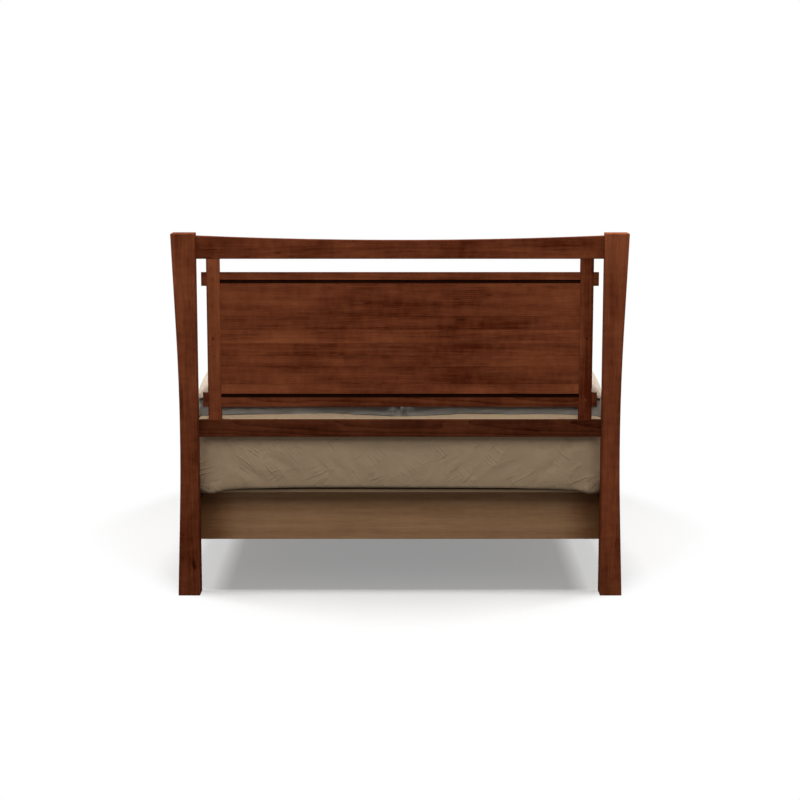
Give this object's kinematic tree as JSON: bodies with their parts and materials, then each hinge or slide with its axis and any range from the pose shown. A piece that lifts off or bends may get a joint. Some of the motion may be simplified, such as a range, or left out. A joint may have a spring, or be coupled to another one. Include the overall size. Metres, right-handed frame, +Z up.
{
  "type": "storage bed",
  "caption": "Bed with flared posts and framed end panels, side rails, a slatted deck on a base with sliding drawers, a mattress and stacked pillows.",
  "frame": {"origin": "on the floor under the middle of the bed", "axes": "+Z up, +Y towards the head end, +X to the right as seen from the foot end"},
  "size_m": [1.6604, 2.215, 1.346],
  "materials": {
    "frame_cherry": "dark red-brown stained cherry, satin lacquer",
    "base_plywood": "plain veneered board",
    "slat_pine": "planed softwood",
    "drawer_maple": "pale hardwood, oiled",
    "zinc_steel": "zinc plated",
    "sheet_cotton": "beige fitted sheet",
    "pillow_cotton": "cream pillowcases"
  },
  "bodies": {
    "frame": {"head_post_left": "frame_cherry", "head_post_right": "frame_cherry", "head_top_rail": "frame_cherry", "head_cross_rail": "frame_cherry", "head_stile_left": "frame_cherry", "head_stile_right": "frame_cherry", "head_upper_panel_rail": "frame_cherry", "head_lower_panel_rail": "frame_cherry", "head_panel": "frame_cherry", "head_pegs": "frame_cherry", "foot_post_left": "frame_cherry", "foot_post_right": "frame_cherry", "foot_top_rail": "frame_cherry", "foot_cross_rail": "frame_cherry", "foot_stile_left": "frame_cherry", "foot_stile_right": "frame_cherry", "foot_upper_panel_rail": "frame_cherry", "foot_lower_panel_rail": "frame_cherry", "foot_panel": "frame_cherry", "foot_pegs": "frame_cherry", "side_rail_left": "frame_cherry", "side_rail_right": "frame_cherry", "rail_hook_plates": "zinc_steel", "post_catch_plates": "zinc_steel", "storage_panel_head": "base_plywood", "storage_panel_foot": "base_plywood", "storage_partition": "base_plywood", "centre_beam": "base_plywood", "centre_legs": "slat_pine", "leg_levellers": "zinc_steel", "slat_ledgers": "slat_pine", "deck_slats": "slat_pine", "drawer_runners": "drawer_maple", "mattress": "sheet_cotton", "pillow_lower_left": "pillow_cotton", "pillow_upper_left": "pillow_cotton", "pillow_lower_right": "pillow_cotton", "pillow_upper_right": "pillow_cotton"},
    "drawer_left_head": {"drawer_left_head_front": "frame_cherry", "drawer_left_head_sides": "drawer_maple", "drawer_left_head_back": "drawer_maple", "drawer_left_head_bottom": "base_plywood", "drawer_left_head_knobs": "frame_cherry"},
    "drawer_left_foot": {"drawer_left_foot_front": "frame_cherry", "drawer_left_foot_sides": "drawer_maple", "drawer_left_foot_back": "drawer_maple", "drawer_left_foot_bottom": "base_plywood", "drawer_left_foot_knobs": "frame_cherry"},
    "drawer_right_head": {"drawer_right_head_front": "frame_cherry", "drawer_right_head_sides": "drawer_maple", "drawer_right_head_back": "drawer_maple", "drawer_right_head_bottom": "base_plywood", "drawer_right_head_knobs": "frame_cherry"},
    "drawer_right_foot": {"drawer_right_foot_front": "frame_cherry", "drawer_right_foot_sides": "drawer_maple", "drawer_right_foot_back": "drawer_maple", "drawer_right_foot_bottom": "base_plywood", "drawer_right_foot_knobs": "frame_cherry"}
  },
  "joints": [
    {"name": "drawer_left_head_slide", "type": "slide", "parent": "frame", "child": "drawer_left_head", "axis": [-1, 0, 0], "range_m": [0, 0.45]},
    {"name": "drawer_left_foot_slide", "type": "slide", "parent": "frame", "child": "drawer_left_foot", "axis": [-1, 0, 0], "range_m": [0, 0.45]},
    {"name": "drawer_right_head_slide", "type": "slide", "parent": "frame", "child": "drawer_right_head", "axis": [1, 0, 0], "range_m": [0, 0.45]},
    {"name": "drawer_right_foot_slide", "type": "slide", "parent": "frame", "child": "drawer_right_foot", "axis": [1, 0, 0], "range_m": [0, 0.45]}
  ]
}
